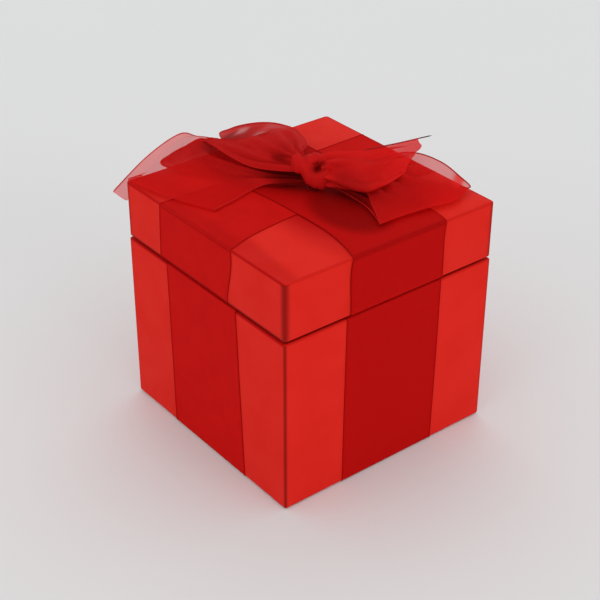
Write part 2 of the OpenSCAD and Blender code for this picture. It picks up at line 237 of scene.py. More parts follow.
def pressed(name, plain, fibre, grain, depth):
    """Matt pressed paper: two tones in clouds of this grain, with a bump of this depth."""
    made = Finish(name)
    point, _ = made.place()
    flecks = made.noise(point, grain, 3.0, (1, 1, 0.5)).step(0.45, 0.65)
    return made.surface(Base_Color=made.blend(flecks, plain, fibre), Roughness=0.95,
                        Specular_IOR_Level=0.01, Normal=made.bump(flecks, depth))


def dress(nodes, finish):
    """Give every one of these CAD nodes this finish."""
    for name in nodes:
        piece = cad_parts[name]
        piece.data.materials.clear()
        piece.data.materials.append(finish)


dress([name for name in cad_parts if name.endswith("_board")],
      pressed("greyboard", BOARD, BOARD_FIBRE, grain=0.7, depth=0.05))
dress(["base_corner_tapes", "lid_corner_tapes"],
      pressed("corner_tape", TAPE, TAPE_DARK, grain=0.4, depth=0.02))
# the glue's near-black red is painted shade, the dark under the knot
dress(["bow_glue_dab"], pressed("glue", GLUE_IN_SHADE, GLUE_IN_SHADE, grain=2.0, depth=0.1))

# ------------------------------------------------------------------ covering papers
# One sheet of matt red paper is drawn round the base's walls, over its rim and in under its
# floor; another covers the lid. They are glued down, so they are flat but for their soft bends.
# Shade is painted into their red at their bends and upright corners and in the gap under the
# lid's rim, and on the lid also along the top's left edge and beside the bow.
PAPER = 0.2  # its thickness
BASE_UNDER = 33.0  # the half width at which the base's paper ends under the floor
BASE_IN, BASE_TURN_IN = 42.65, 51.0  # half width and lower edge of its turn-in behind the rim
LID_IN, LID_TURN_IN = 42.85, 86.1  # half width and upper edge of the lid's turn-in
RED_PAPER, RED_SPOT = (0.76, 0.0180, 0.0100, 1), (0.72, 0.0150, 0.0082, 1)
# Painted shade: the two darker reds on the next line stand for shade, not for the paper's colour.
RED_SHADE, RED_CREASE_SHADE = (0.50, 0.0008, 0.0005, 1), (0.12, 0.0008, 0.0005, 1)
CORNER_SHADE, BAND_SHADE, LIP_SHADE, LEDGE_SHADE = 0.75, 0.48, 0.70, 0.75


def sizes(node):
    """Half width, underside and top of a CAD node, in millimetres."""
    low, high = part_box(node)
    return [round(size / MM, 2) for size in (high[0], low[2], high[2])]


WALL, FOOT, BASE_RIM = sizes("base_wrap")
_, LID_RIM, LID_TOP = sizes("lid_wrap")


def square_rings(half, radius, run=14, turn=7):
    """Points round squares of these half widths and corner radii, one ring for each: a straight
    run along each face, closer together near the corners, and then a quarter circle."""
    half, radius = np.asarray(half, float)[:, None], np.asarray(radius, float)[:, None]
    along = -np.cos(np.linspace(0, np.pi, run + 1))[None, :-1]
    angle = np.radians(np.linspace(-90, 0, turn + 1))[None, :-1]
    straight = half - radius
    x = np.hstack([along * straight, straight + radius * np.cos(angle)])
    y = np.hstack([-half + 0 * along, -straight + radius * np.sin(angle)])
    sides = [(x, y), (-y, x), (-x, -y), (y, -x)]
    return np.stack([np.hstack([side[i] for side in sides]) for i in (0, 1)], axis=-1)


def softened(corners, radius, turn=4):
    """A line through these corners, with each inner corner rounded to its radius by an arc."""
    corners = np.asarray(corners, float)
    line = [corners[0]]
    angle = np.linspace(0, np.pi / 2, turn + 1)[:, None]
    for before, corner, after, r in zip(corners, corners[1:], corners[2:], radius):
        back, on = ((end - corner) / np.linalg.norm(end - corner) for end in (before, after))
        centre = corner + (back + on) * r
        line.extend(centre - on * r * np.cos(angle) - back * r * np.sin(angle))
    return np.array(line + [corners[-1]])


def sheet_faces(rows, columns, ring=False, loop=False):
    """Quads between neighbouring rows and columns of a grid; ring joins the last column to the
    first, and loop the last row to the first."""
    number = np.arange(rows * columns).reshape(rows, columns)
    down = np.vstack([number, number[:1]]) if loop else number
    both = np.hstack([down, down[:, :1]]) if ring else down
    quads = [both[:-1, :-1], both[:-1, 1:], both[1:, 1:], both[1:, :-1]]
    return np.stack(quads, -1).reshape(-1, 4)


def new_piece(name, points, faces, finish, body, slot, uv=None, **numbers):
    """A smooth piece from points in millimetres and faces; it rides on body. Each of numbers
    holds a number for every point, which the finish reads by its name."""
    mesh = bpy.data.meshes.new(name)
    metres = np.reshape(points, (-1, 3)) * MM
    mesh.from_pydata(metres.tolist(), [], faces.tolist())
    if uv is not None:
        order = np.zeros(len(mesh.loops), int)
        mesh.loops.foreach_get("vertex_index", order)
        layer = mesh.uv_layers.new(name="cloth")
        layer.data.foreach_set("uv", np.reshape(uv, (-1, 2))[order].ravel())
    for key, values in numbers.items():
        mesh.attributes.new(key, "FLOAT", "POINT").data.foreach_set("value", np.ravel(values))
    form = bmesh.new()
    form.from_mesh(mesh)
    bmesh.ops.remove_doubles(form, verts=form.verts, dist=1e-7)
    bmesh.ops.recalc_face_normals(form, faces=form.faces)
    form.to_mesh(mesh)
    form.free()
    mesh.polygons.foreach_set("use_smooth", [True] * len(mesh.polygons))
    mesh.materials.append(finish)
    piece = bpy.data.objects.new(name, mesh)
    bpy.context.scene.collection.objects.link(piece)
    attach(piece, body)
    return piece


def lip_shade(x, z, most):
    """Shade of up to most on the rim of the lid's left wall, which fades out a millimetre up."""
    return (z.step(LID_RIM - 0.3, LID_RIM) * z.step(LID_RIM + 0.2, LID_RIM + 1.3, most, 0.0)
            * (-x).step(WALL - 0.6, WALL - 0.2))


def bow_shade(x, y):
    """Shade of up to 1 beside the lid's upper strip, on its near left panel."""
    return (x.step(-26.5, -13.0) * x.step(0.0, 10.0, 1.0, 0.0)
            * y.step(-46.0, -16.0, 0.35, 1.0) * y.step(-10.0, 0.0, 1.0, 0.0))


def red_paper(name, low, high, crease, on_lid):
    """Matt red paper between heights low and high: cloudy, with a fine tooth. Shade is painted into
    it over crease millimetres at its upright corners and within a millimetre of its upper edges,
    less at the front. On the lid, shade is also painted in a band along the top's left edge, on the
    paper beside the upper strip where the bow shades it and on the left rim over the gap under it;
    on the base, on the ledge of the rim under the lid."""
    made = Finish(name)
    point, (x, y, z) = made.place()
    across, along = abs(x).least(abs(y)), abs(x).most(abs(y))
    clouds = made.noise(point, 14.0, 3.0).step(0.35, 0.7)
    on_side = z.step(high - 0.35, high - 0.1, 1.0, 0.0) * z.step(low + 0.1, low + 0.3)
    corner = (WALL - across).step(0.1, crease, CORNER_SHADE, 0.0) * on_side
    from_edge = (along - WALL + 0.1).squared() + (z - high + 0.1).squared()
    painted_shade = from_edge.step(0.02, 0.9, 1.0, 0.0) * (-y).step(WALL - 1.0, WALL - 0.5, 1.0, 0.4)
    on_top = z.step(high - 0.3, high - 0.05)
    if on_lid:
        band = ((y + 20.0) * 0.1 - x).step(WALL - 10.5, WALL - 6.5, 0.0, BAND_SHADE)
        painted_shade = painted_shade.most(band.most(bow_shade(x, y)) * on_top)
        gap_shade = lip_shade(x, z, LIP_SHADE)
    else:
        gap_shade = along.step(WALL - 1.3, WALL - 0.5, LEDGE_SHADE, 0.0) * on_top
    # the darker reds blended in on these lines are painted shade, not the paper's own colour
    plain = made.blend(painted_shade, made.blend(clouds * 0.6, RED_PAPER, RED_SPOT), RED_SHADE)
    return made.surface(
        Base_Color=made.blend(corner.most(gap_shade), plain, RED_CREASE_SHADE),
        Roughness=clouds * 0.1 + 0.62, Specular_IOR_Level=0.07,
        Normal=made.bump(made.noise(point, 0.35), 0.012, 0.5))


def cover(name, outline, finish, body, inner, corner_radius, loop):
    """Paper whose section is this outline of (half width, height), carried round the box. Its
    corners are round outside and nearly sharp where it is turned in."""
    half, height = outline.T
    radius = np.maximum(corner_radius - (WALL - half), 0.05).clip(max=half.clip(min=0.0))
    rings = square_rings(half, radius)
    points = np.dstack([rings, np.broadcast_to(height[:, None], rings.shape[:2])])
    piece = new_piece(name, points, sheet_faces(*rings.shape[:2], ring=True, loop=loop), finish,
                      body, "wrap_paper")
    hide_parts(inner)


base_outside = [[BASE_UNDER, FOOT], [WALL, FOOT], [WALL, BASE_RIM], [BASE_IN, BASE_RIM],
                [BASE_IN, BASE_TURN_IN]]
base_inside = [[BASE_IN + PAPER, BASE_TURN_IN], [BASE_IN + PAPER, BASE_RIM - PAPER],
               [WALL - PAPER, BASE_RIM - PAPER], [WALL - PAPER, FOOT + PAPER],
               [BASE_UNDER, FOOT + PAPER]]
base_outline = np.vstack([softened(base_outside, [0.5, 0.5, 0.35]),
                          softened(base_inside, [0.2, 0.3, 0.3])])
base_paper = red_paper("base_paper", FOOT, BASE_RIM, crease=1.3, on_lid=False)
cover("base_cover", base_outline, base_paper, "base", "base_wrap", corner_radius=0.8, loop=True)

lid_outside = [[0, LID_TOP], [WALL, LID_TOP], [WALL, LID_RIM], [LID_IN, LID_RIM],
               [LID_IN, LID_TURN_IN]]
lid_inside = [[LID_IN + PAPER, LID_TURN_IN], [LID_IN + PAPER, LID_RIM + PAPER],
              [WALL - PAPER, LID_RIM + PAPER], [WALL - PAPER, LID_TOP - PAPER],
              [0, LID_TOP - PAPER]]
lid_outline = np.vstack([softened(lid_outside, [0.5, 0.4, 0.35]),
                         softened(lid_inside, [0.2, 0.3, 0.3])])
lid_paper = red_paper("lid_paper", LID_RIM, LID_TOP, crease=2.9, on_lid=True)
cover("lid_cover", lid_outline, lid_paper, "lid", "lid_wrap", corner_radius=1.4, loop=False)

# ------------------------------------------------------------------ linings and neck paper
# Plain red paper: a sheet glued under the base, one laid on its floor, one under the lid's top,
# and a much deeper red one glued round the raised neck and over its edge, painted that dark as
# the shade in the gap under the lid's rim.
LINING, LINING_CLOUD = (0.55, 0.012, 0.008, 1), (0.48, 0.009, 0.006, 1)
NECK_IN_SHADE, NECK_IN_SHADE_CLOUD = (0.20, 0.0036, 0.0028, 1), (0.17, 0.0028, 0.0022, 1)


def plain_paper(name, red, deeper):
    """Matt lining paper with soft clouds of a deeper tone and a fine tooth."""
    made = Finish(name)
    point, _ = made.place()
    return made.surface(
        Base_Color=made.blend(made.noise(point, 9.0, 3.0), red, deeper), Roughness=0.75,
        Specular_IOR_Level=0.12, Normal=made.bump(made.noise(point, 0.35), 0.012, 0.5))


dress(["lid_lining", "base_floor_lining", "base_foot_sheet"],
      plain_paper("lining_paper", LINING, LINING_CLOUD))
dress(["neck_wrap"], plain_paper("neck_paper_in_shade", NECK_IN_SHADE, NECK_IN_SHADE_CLOUD))

# ------------------------------------------------------------------ ribbon strips
# Sheer woven ribbon with a fine wire in each edge, laid flat on the walls and over the lid. Its
# ends are turned in round the rims and in under the floor, where they are glued.
RIBBON_WIDE, RIBBON_THICK = 40.0, 0.2
RIBBON_LIFT = 0.12  # of the middle of the cloth off what it lies on
BASE_END = 38.0  # the half width at which a base strip ends under the floor
BASE_END_IN, LID_END_IN = 59.0, 74.0  # the heights at which strips end inside base and lid
WIRE_RADIUS = 0.14
WEAVE_REPEAT = 0.31
STRIP_COVER = 0.9  # the share of the light that one layer of a strip stops
CLOTH_RED, CLOTH_DEEP = (0.66, 0.0072, 0.0060, 1), (0.54, 0.0045, 0.0040, 1)
EDGE_RED, CLOTH_SHADE = (0.40, 0.0016, 0.0012, 1), (0.12, 0.0005, 0.0004, 1)
BARE_WIRE = (0.06, 0.035, 0.036, 1)
LOOP_SHADE, FOLD_SHADE, STRIP_BAND_SHADE, STRIP_LIP_SHADE = 0.55, 0.28, 0.13, 0.65


def smooth(rows, at, place=None, end=1.0):
    """Points at these places of smooth curves through rows, each at its place, or evenly from 0
    to 1. Between two rows they are a cubic, whose slope at a row is that of the curve through its
    neighbours; the slope at the first and last rows is end times the straight one."""
    rows = np.asarray(rows, float)
    place = np.linspace(0, 1, len(rows)) if place is None else place
    slope = np.gradient(rows, place, axis=0)
    slope[[0, -1]] *= end
    i = np.clip(np.searchsorted(place, at) - 1, 0, len(place) - 2)
    flat = (-1,) + (1,) * (rows.ndim - 1)
    span = (place[i + 1] - place[i]).reshape(flat)
    t = (at - place[i]).reshape(flat) / span
    return ((2 * t**3 - 3 * t**2 + 1) * rows[i] + (t**3 - 2 * t**2 + t) * slope[i] * span
            + (3 * t**2 - 2 * t**3) * rows[i + 1] + (t**3 - t**2) * slope[i + 1] * span)


def tube(line, radius, sides=6):
    """Points and faces of a closed round wire along a line of points: circles square to the
    line, with the ends drawn in to a point."""
    ahead = np.gradient(line, axis=0)
    ahead /= np.linalg.norm(ahead, axis=1)[:, None] + 1e-12
    first = np.cross(ahead, [0.31, 0.27, 0.91])
    first /= np.linalg.norm(first, axis=1)[:, None]
    second = np.cross(ahead, first)
    around = np.linspace(0, 2 * np.pi, sides, endpoint=False)[None, :, None]
    thick = np.full((len(line), 1, 1), radius)
    thick[[0, -1]] = 0
    rings = line[:, None] + thick * (np.cos(around) * first[:, None]
                                     + np.sin(around) * second[:, None])
    return rings, sheet_faces(len(line), sides, ring=True)


def wires(name, lines, radius, finish, body, slot, dark=(0, 0), bare=(0, 0)):
    """One piece made of a wire along each of these lines, with a radius for each. dark is how far
    the wire shows through the thread round it, and bare how many last rings have no thread."""
    points, faces, shows, count = [], [], [], 0
    for line, thick, share, free in zip(lines, radius, dark, bare):
        rings, quads = tube(line, thick)
        points.append(rings.reshape(-1, 3))
        faces.append(quads + count)
        count += len(points[-1])
        ring = np.where(np.arange(len(line)) < len(line) - free, share, 1.0)
        shows.append(np.broadcast_to(ring[:, None], rings.shape[:2]).ravel())
    return new_piece(name, np.vstack(points), np.vstack(faces), finish, body, slot,
                     dark=np.concatenate(shows))


def woven(made, long, inner):
    """Threads that cross in a plain weave, as the product of two sines, and the closer selvedge,
    which is full up to inner millimetres from both edges. long is the ribbon's flat length."""
    cloth = made.node("UVMap", dict(uv_map="cloth"))
    across = made.node("SeparateXYZ", None, {0: cloth}, "X") * RIBBON_WIDE
    along = made.node("SeparateXYZ", None, {0: cloth}, "Y") * long
    turns = 2 * np.pi / WEAVE_REPEAT
    threads = (across * turns).wave() * (along * turns).wave()
    selvedge = across.least(RIBBON_WIDE - across).step(inner, inner + 0.6, 1.0, 0.0)
    return threads, selvedge


def sheer(name, plain, deep, long, front_in_shade=False):
    """Sheer ribbon that lets a little light through between its threads. Shade is painted into it
    under the bow's front loop, in its folds over the lid's upper edges, along the top's left edge
    and on the lid's left rim, and, where asked, on all of its cloth on the front wall."""
    made = Finish(name)
    point, (x, y, z) = made.place()
    threads, selvedge = woven(made, long, 0.5)
    clouds = made.noise(point, 7.0, 3.0).step(0.3, 0.7)
    from_loop = (x - 1.0).squared() / 120.0 + (y + 20.0).squared() / 290.0
    under_loop = from_loop.step(0.45, 1.5, LOOP_SHADE, 0.0)
    from_edge = (abs(x).most(abs(y)) - WALL).squared() + (z - LID_TOP).squared()
    fold = from_edge.step(0.2, 2.4, FOLD_SHADE, 0.0)
    band = (-x).step(WALL - 9.0, WALL - 4.0, 0.0, STRIP_BAND_SHADE) * z.step(LID_TOP - 0.3, LID_TOP)
    shade = under_loop.most(fold).most(band).most(lip_shade(x, z, STRIP_LIP_SHADE))
    red = made.blend(shade, made.blend(clouds * 0.3, plain, deep), CLOTH_SHADE)
    # painted shade on the front wall: the cloth there takes the deeper red
    if front_in_shade:
        red = made.blend((-y).step(WALL - 0.6, WALL + 0.05), red, deep)
    return made.surface(
        Base_Color=made.blend(selvedge * 0.5, red, EDGE_RED),
        Alpha=(threads * 0.08 + STRIP_COVER + selvedge * 0.3).least(1.0),
        Roughness=0.7, Specular_IOR_Level=0.02, Normal=made.bump(threads, 0.02, 0.4))


def wire_finish(name, colour):
    """Fine wire wrapped in red thread, with shade painted on it where it lies deep under the knot.
    """
    made = Finish(name)
    point, (x, y, z) = made.place()
    thread = made.blend(made.noise(point, 1.5), colour, tuple(c * 0.8 for c in colour[:3]) + (1,))
    under_knot = ((x - 3.0).squared() + y.squared()).step(80.0, 330.0, 0.8, 0.0)
    threaded = made.blend(under_knot * z.step(93.0, 95.0, 1.0, 0.0), thread, CLOTH_SHADE)
    return made.surface(Base_Color=made.blend(made.number("dark"), threaded, BARE_WIRE),
                        Roughness=0.6, Specular_IOR_Level=0.04)


EDGE_WIRE = wire_finish("edge_wire", EDGE_RED)


def strip(name, node, body, route, bends, turn, edges, finish, spacing=1.5, columns=25):
    """Ribbon carried along a section route of (outwards, up), turned about the upright axis.
    edges gives both edges' places across the ribbon at places along the route, counted from 0
    to 1."""
    line = softened(route, bends, 6)
    far = np.concatenate([[0], np.cumsum(np.linalg.norm(np.diff(line, axis=0), axis=1))])
    at = np.unique(np.concatenate([far, np.arange(0, far[-1], spacing)]))
    out, height = (np.interp(at, far, line[:, k])[:, None] for k in (0, 1))
    edges = np.array(edges, float)
    left, right = smooth(edges[:, 1:], at / far[-1], edges[:, 0]).T[..., None]
    across = np.linspace(0, 1, columns)[None, :]
    aside = left * (1 - across) + right * across
    c, s = np.cos(np.radians(turn)), np.sin(np.radians(turn))
    points = np.dstack(np.broadcast_arrays(c * out - s * aside, s * out + c * aside, height))
    uv = np.dstack(np.broadcast_arrays(across, (at / far[-1])[:, None]))
    piece = new_piece(name, points, sheet_faces(*aside.shape), finish, body, "strip_ribbon", uv)
    edging = wires(name + "_wires", [points[:, 0], points[:, -1]], [WIRE_RADIUS] * 2, EDGE_WIRE,
                   body, "strip_ribbon")
    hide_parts(node)


SIDE, SOLE, CREST = WALL + RIBBON_LIFT, FOOT - RIBBON_LIFT, BASE_RIM + RIBBON_LIFT
INNER = BASE_IN - RIBBON_LIFT
base_route = [[BASE_END, SOLE], [SIDE, SOLE], [SIDE, CREST], [INNER, CREST], [INNER, BASE_END_IN]]
base_cloth = sheer("base_ribbon_cloth", CLOTH_RED, CLOTH_DEEP, 83.0, front_in_shade=True)
for side, turn, edges in (("front", -90, [(0, -20.4, 20.4), (0.5, -20.0, 21.2), (1, -19.4, 21.6)]),
                          ("back", 90, [(0, -20.5, 19.5), (0.5, -20.8, 19.4), (1, -20.2, 20.0)]),
                          ("left", 180, [(0, -19.8, 22.4), (0.5, -20.4, 20.4), (1, -21.2, 18.5)]),
                          ("right", 0, [(0, -19.8, 20.0), (0.5, -19.5, 20.6), (1, -20.2, 20.2)])):
    strip(f"base_strip_{side}", f"base_ribbon_{side}", "base", base_route, [0.5, 0.5, 0.3], turn,
          edges, base_cloth)


def lid_route(lift):
    """Section over the whole lid, raised by lift where a strip lies on another one."""
    inner, rim = LID_IN - RIBBON_LIFT, LID_RIM - RIBBON_LIFT
    side, top = SIDE + lift, LID_TOP + RIBBON_LIFT + lift
    half = [[inner, LID_END_IN], [inner, rim], [side, rim], [side, top]]
    return half + [[-x, z] for x, z in half[::-1]]


lid_cloth = sheer("lid_ribbon_cloth", CLOTH_RED, CLOTH_DEEP, 150.0)
# A shaded copy of the strip cloth: the strip over the lid's front, top and back is painted a deeper
# red all along, as the shade that falls on its front.
lid_shaded_cloth = sheer("lid_upper_ribbon_shaded_cloth", CLOTH_DEEP, CLOTH_DEEP, 150.0)
lid_bends = [0.3, 0.4, 1.0, 1.0, 0.4, 0.3]
strip("lid_strip_across", "lid_ribbon_across", "lid", lid_route(0), lid_bends, 180,
      [(0, -24.6, 15.0), (0.06, -24.5, 14.6), (0.2, -23.6, 17.0), (0.25, -23.2, 14.6),
       (0.35, -23, 12), (0.65, -22.8, 13), (0.8, -23.4, 15.5), (1, -23.5, 16.5)],
      lid_cloth)
strip("lid_strip_along", "lid_ribbon_along", "lid", lid_route(RIBBON_THICK), lid_bends, -90,
      [(0, -18.2, 21.8), (0.08, -18.2, 21.8), (0.2, -17.6, 22.4), (0.23, -16.1, 23.4),
       (0.3, -13.8, 23.7), (0.45, -13.5, 22.5), (0.7, -17, 22), (0.8, -18, 22), (1, -18, 22)],
      lid_shaded_cloth)

# ------------------------------------------------------------------ ribbon of the bow
# One length of the same ribbon is tied over the strips' crossing. It is gathered where it leaves
# the ends of the knot, and the wires in its edges hold the loops and tails open beyond.
BOW_RED, BOW_DEEP = (0.72, 0.0135, 0.0125), (0.60, 0.0085, 0.008)
BOW_LIT, BOW_EDGE = (0.95, 0.034, 0.032, 1), (0.62, 0.0100, 0.0090, 1)
BOW_SHADE = (0.10, 0.0004, 0.0003, 1)
LIT_THROUGH, ONE_LAYER = 0.30, 0.33  # shares of light that one layer passes on and lets past
MOST_LAYERS = 6
BOW_CLEAR = 0.6  # the least height of bow and knot over the lid
ACROSS, TIP_STEPS = 49, 4  # points across the ribbon and along a bare tip of wire


def bow_cloth(name, long, tone):
    """The strips' cloth seen free in the air. One layer lets a third of the light between its
    threads and glows where light falls on its other face; each further layer of a gather, counted
    by the surface's own number, lets a third of the rest through."""
    made = Finish(name)
    point, _ = made.place()
    threads, selvedge = woven(made, long, 0.4)
    clouds = made.noise(point, 6.0, 3.0).step(0.3, 0.7)
    layers = made.number("layers")
    lit_share = (layers - 1.0).of_power(0.5) * LIT_THROUGH
    open_share = layers.of_power(ONE_LAYER) / (1.0 - lit_share)
    # each part's red is multiplied by its tone: painted light where that is over 1, painted shade
    # where it is under 1
    red, deeper = (tuple(c * tone for c in colour) + (1,) for colour in (BOW_RED, BOW_DEEP))
    plain = made.blend(selvedge * 0.5, made.blend(clouds * 0.3, red, deeper), BOW_EDGE)
    # the darker red blended in by the number deep is painted shade
    material = made.surface(
        Base_Color=made.blend(made.number("deep"), plain, BOW_SHADE),
        Alpha=(1.0 - open_share + threads * 0.05 + selvedge * 0.2).least(1.0),
        Roughness=0.7, Specular_IOR_Level=0.02, Normal=made.bump(threads, 0.02, 0.4))
    glow = made.node("BsdfTranslucent", None, {"Color": BOW_LIT})
    solid = Value(made, made.shader.outputs[0])
    both = made.node("MixShader", None, {0: lit_share, 1: solid, 2: glow})
    made.feed(made.tree.nodes["Material Output"].inputs["Surface"], both)
    return material


BOW_WIRE = wire_finish("bow_edge_wire", BOW_EDGE)


def cut_back(grid, v, ends):
    """The surface drawn in along itself, so that its last row lies at the share of its length
    that ends gives at places across it."""
    last = len(grid) - 1
    place = np.arange(last + 1)[:, None] * np.interp(v, *np.array(ends, float).T)[None, :]
    i = np.clip(place.astype(int), 0, last - 1)
    t = (place - i)[..., None]
    column = np.arange(len(v))[None, :]
    return grid[i, column] * (1 - t) + grid[i + 1, column] * t


def gathered(grid, left, u, v, long, folds, depth, looped):
    """The surface with the width that it lacks taken up by folds along it. Where left of its 40
    mm are to be seen, a fold is sqrt(40^2 - left^2) / (4 folds) deep, but at most depth, and at
    the knot and a cut end at most three tenths of that, which grows to all of it over 5.6 and
    7 mm. It is a sine across the ribbon with a finer one over it, which drift as they run along,
    and it dies out at the wires."""
    normal = np.cross(np.gradient(grid, axis=0), np.gradient(grid, axis=1))
    normal /= np.linalg.norm(normal, axis=2)[..., None] + 1e-9
    slack = np.sqrt(np.clip(RIBBON_WIDE**2 - left**2, 0, None)) / (4 * folds)
    from_knot = np.minimum(u, 1 - u) if looped else u
    calm = np.minimum(0.3 + 0.7 * from_knot * long / 5.6, 1)
    calm = calm if looped else np.minimum(calm, 0.3 + 0.7 * (1 - u) * long / 7)
    high = np.minimum(slack, depth * calm)[:, None] * np.sin(np.pi * v.clip(0.02, 0.98))**0.5
    drift = 0.05 * np.sin(5.1 * u)[:, None] + 0.03 * np.sin(9.0 * v)
    wave = np.sin(2 * np.pi * folds * (v + drift))
    finer = 0.35 * np.sin(2 * np.pi * 1.7 * folds * (v - drift) + 1.3)
    return grid + normal * (high * (wave + finer))[..., None]


def patches(u, v, spots):
    """Sum over a grid of soft patches (place along, place across, their two sizes, amount)."""
    total = np.zeros((len(u), len(v)))
    for u0, v0, u_size, v_size, amount in spots:
        along, across = ((u - u0) / u_size)[:, None], ((v - v0) / v_size)[None, :]
        total += amount * np.exp(-along**4 - across**4)
    return total


def bow_part(name, node, rails, *, long, folds, depth, tone, looped=False,
             ends=((0, 1), (1, 1)), layers=(), deep=(), tips=(0, 0), wire=(0.17, 0.17),
             dark=(0, 0)):
    """Ribbon over the smooth surface through these rails, which run along it from one wire to the
    other. It is long millimetres of ribbon, gathered into folds up to depth deep, its red is
    multiplied by tone, which paints light on the whole part where it is over 1 and shade where it
    is under 1, and looped means that both its ends are in the knot. ends shortens the cut end,
    layers gives the patches where more cloth is crumpled, and deep those where shade is painted
    into its red. tips lengthens each wire past the cut end, wire is its radius and dark is how far
    it shows through its thread."""
    u, v = np.linspace(0, 1, int(long) + 1), np.linspace(0, 1, ACROSS)
    grid = smooth(smooth(rails, v, end=0.5).transpose(1, 0, 2), u, end=0.5)
    grid = cut_back(grid, v, ends)
    left = np.linalg.norm(np.diff(grid, axis=1), axis=2).sum(1)
    grid = gathered(grid, left, u, v, long, folds, depth, looped)
    past_wall = (np.abs(grid[..., :2]).max(axis=2) - WALL - 0.3).clip(min=0)
    grid[..., 2] = np.maximum(grid[..., 2], LID_TOP + BOW_CLEAR - 4 * past_wall)
    count = (RIBBON_WIDE / left).clip(1, MOST_LAYERS)[:, None] + patches(u, v, layers)
    uv = np.dstack(np.broadcast_arrays(v[None, :], u[:, None]))
    cloth = bow_cloth(name + "_cloth", long, tone)
    piece = new_piece(name, grid, sheet_faces(len(u), ACROSS), cloth, "lid", "bow_ribbon", uv,
                      layers=count.clip(min=1), deep=patches(u, v, deep))
    lines = []
    for edge, tip in ((grid[:, 0], tips[0]), (grid[:, -1], tips[1])):
        way = (edge[-1] - edge[-6]) / np.linalg.norm(edge[-1] - edge[-6])
        more = np.linspace(0, tip, TIP_STEPS + 1)[1:, None] * way
        lines.append(np.vstack([edge, edge[-1] + more]) if tip else edge)
    edging = wires(name + "_wires", lines, wire, BOW_WIRE, "lid", "bow_ribbon", dark,
                   [TIP_STEPS if tip else 0 for tip in tips])
    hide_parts(node)


bow_part("bow_back_loop", "bow_loop_back", [
    [(-0.5, -1.5, 96.3), (-7.9, 6.6, 96.0), (-12.2, 16, 95.2), (-13.1, 27, 95.0), (-14.0, 36, 96.0),
     (-14.0, 43, 95.4), (-19.4, 44.5, 94.6), (-26.6, 44.5, 93.0), (-30.1, 44.2, 90.2),
     (-22, 30, 88.9), (-12, 15, 89.0), (-0.4, -1.3, 91.5)],
    [(0.1, -0.5, 97.5), (-5.6, 10, 97.0), (-8.2, 20, 96.0), (-9.2, 31, 95.2), (-9.8, 38.5, 95.5),
     (-10.3, 44, 94.6), (-13.5, 45, 93.1), (-19, 44.4, 91.3), (-21, 42, 89.6), (-15, 30, 88.9),
     (-8, 15, 89.1), (0.1, -0.5, 91.3)],
    [(0.8, 0.6, 97.9), (-2.2, 12, 97.6), (-1.4, 23, 96.4), (-0.8, 33, 95.4), (0.8, 38.4, 93.2),
     (-3, 41, 92.0), (-7.5, 43.8, 92.3), (-12, 43.8, 91.0), (-13, 41, 89.5), (-9, 28, 89.0),
     (-4.5, 14, 89.2), (0.6, 0.4, 91.2)],
    [(1.4, 1.6, 97.5), (4.6, 12.6, 97.0), (9.5, 22.5, 95.1), (14.6, 32, 93.1), (16.4, 39.4, 92.0),
     (7.5, 41, 90.8), (0.5, 43.6, 90.8), (-5, 44, 90.3), (-6.5, 40.5, 89.3), (-4, 27, 89.0),
     (-2, 14, 89.2), (1.1, 1.2, 91.3)],
    [(1.8, 2.5, 95.9), (6.8, 11.6, 96.6), (14.6, 19, 95.0), (20.7, 29.2, 92.4), (25.4, 40.6, 89.9),
     (19.8, 45, 92.2), (9.3, 45, 94.7), (0, 45, 95.3), (-4.8, 44.8, 93.5), (0, 30, 89.1),
     (0, 14, 89.2), (1.6, 2.1, 91.5)]],
    long=104.0, folds=5, depth=1.6, tone=0.78, looped=True,
    layers=[(0.6, 0.2, 0.16, 0.5, 2.5), (0.46, 0.85, 0.26, 0.4, 1.8), (0.1, 0.5, 0.4, 1, 1.5),
            (0.565, 0.9, 0.03, 0.05, -2), (0.40, 0.66, 0.09, 0.06, -2.2),
            (0.43, 0.92, 0.05, 0.06, -1.4), (0.462, 0.81, 0.026, 0.05, -2.0)],
    deep=[(0.085, 0.38, 0.025, 0.13, 0.66), (0.97, 0.5, 0.12, 1, 0.8)])
bow_part("bow_front_loop", "bow_loop_right", [
    [(4.0, -6.2, 94.9), (8.4, -12, 92.7), (10.1, -18.4, 92.0), (7.3, -25, 90.8), (2.7, -34, 90.0),
     (2, -35.2, 89.6), (4.5, -30, 89.1), (7, -20, 89.1), (4.1, -6.0, 91.9)],
    [(4.6, -5.1, 95.9), (12, -11.4, 93.4), (15.4, -19, 92.7), (14.8, -27.6, 91.5),
     (12.2, -34, 90.2), (12, -35.4, 89.6), (13.4, -30, 89.1), (12, -19, 89.1), (4.7, -5.0, 91.5)],
    [(5.3, -3.9, 96.1), (15.6, -9.6, 93.5), (22, -17.6, 92.9), (23.5, -26.6, 91.8),
     (22, -34.8, 90.5), (22, -36.6, 89.7), (22, -29, 89.1), (17, -16, 89.1), (5.3, -3.8, 91.3)],
    [(6.0, -2.7, 95.9), (19.6, -7.6, 93.6), (30, -13.6, 93.1), (34, -23.6, 92.1),
     (32.5, -35.6, 90.7), (32.6, -38, 89.8), (31, -27, 89.0), (23, -13, 89.1), (6.0, -2.7, 91.5)],
    [(6.7, -1.5, 94.9), (24, -4.4, 93.5), (40, -6.4, 93.1), (44.8, -17, 92.7), (44.2, -28.6, 91.2),
     (42.6, -35.0, 90.1), (39, -26, 89.0), (28, -11, 89.0), (6.6, -1.7, 91.9)]],
    long=86.0, folds=5, depth=1.3, tone=1.15, looped=True,
    layers=[(0.5, 0.96, 0.03, 0.1, 1.5)],
    deep=[(1, 0.5, 0.2, 1, 0.8), (0.43, 0.42, 0.09, 0.27, 0.17)], wire=(0.17, 0.22), dark=(0, 0.3))
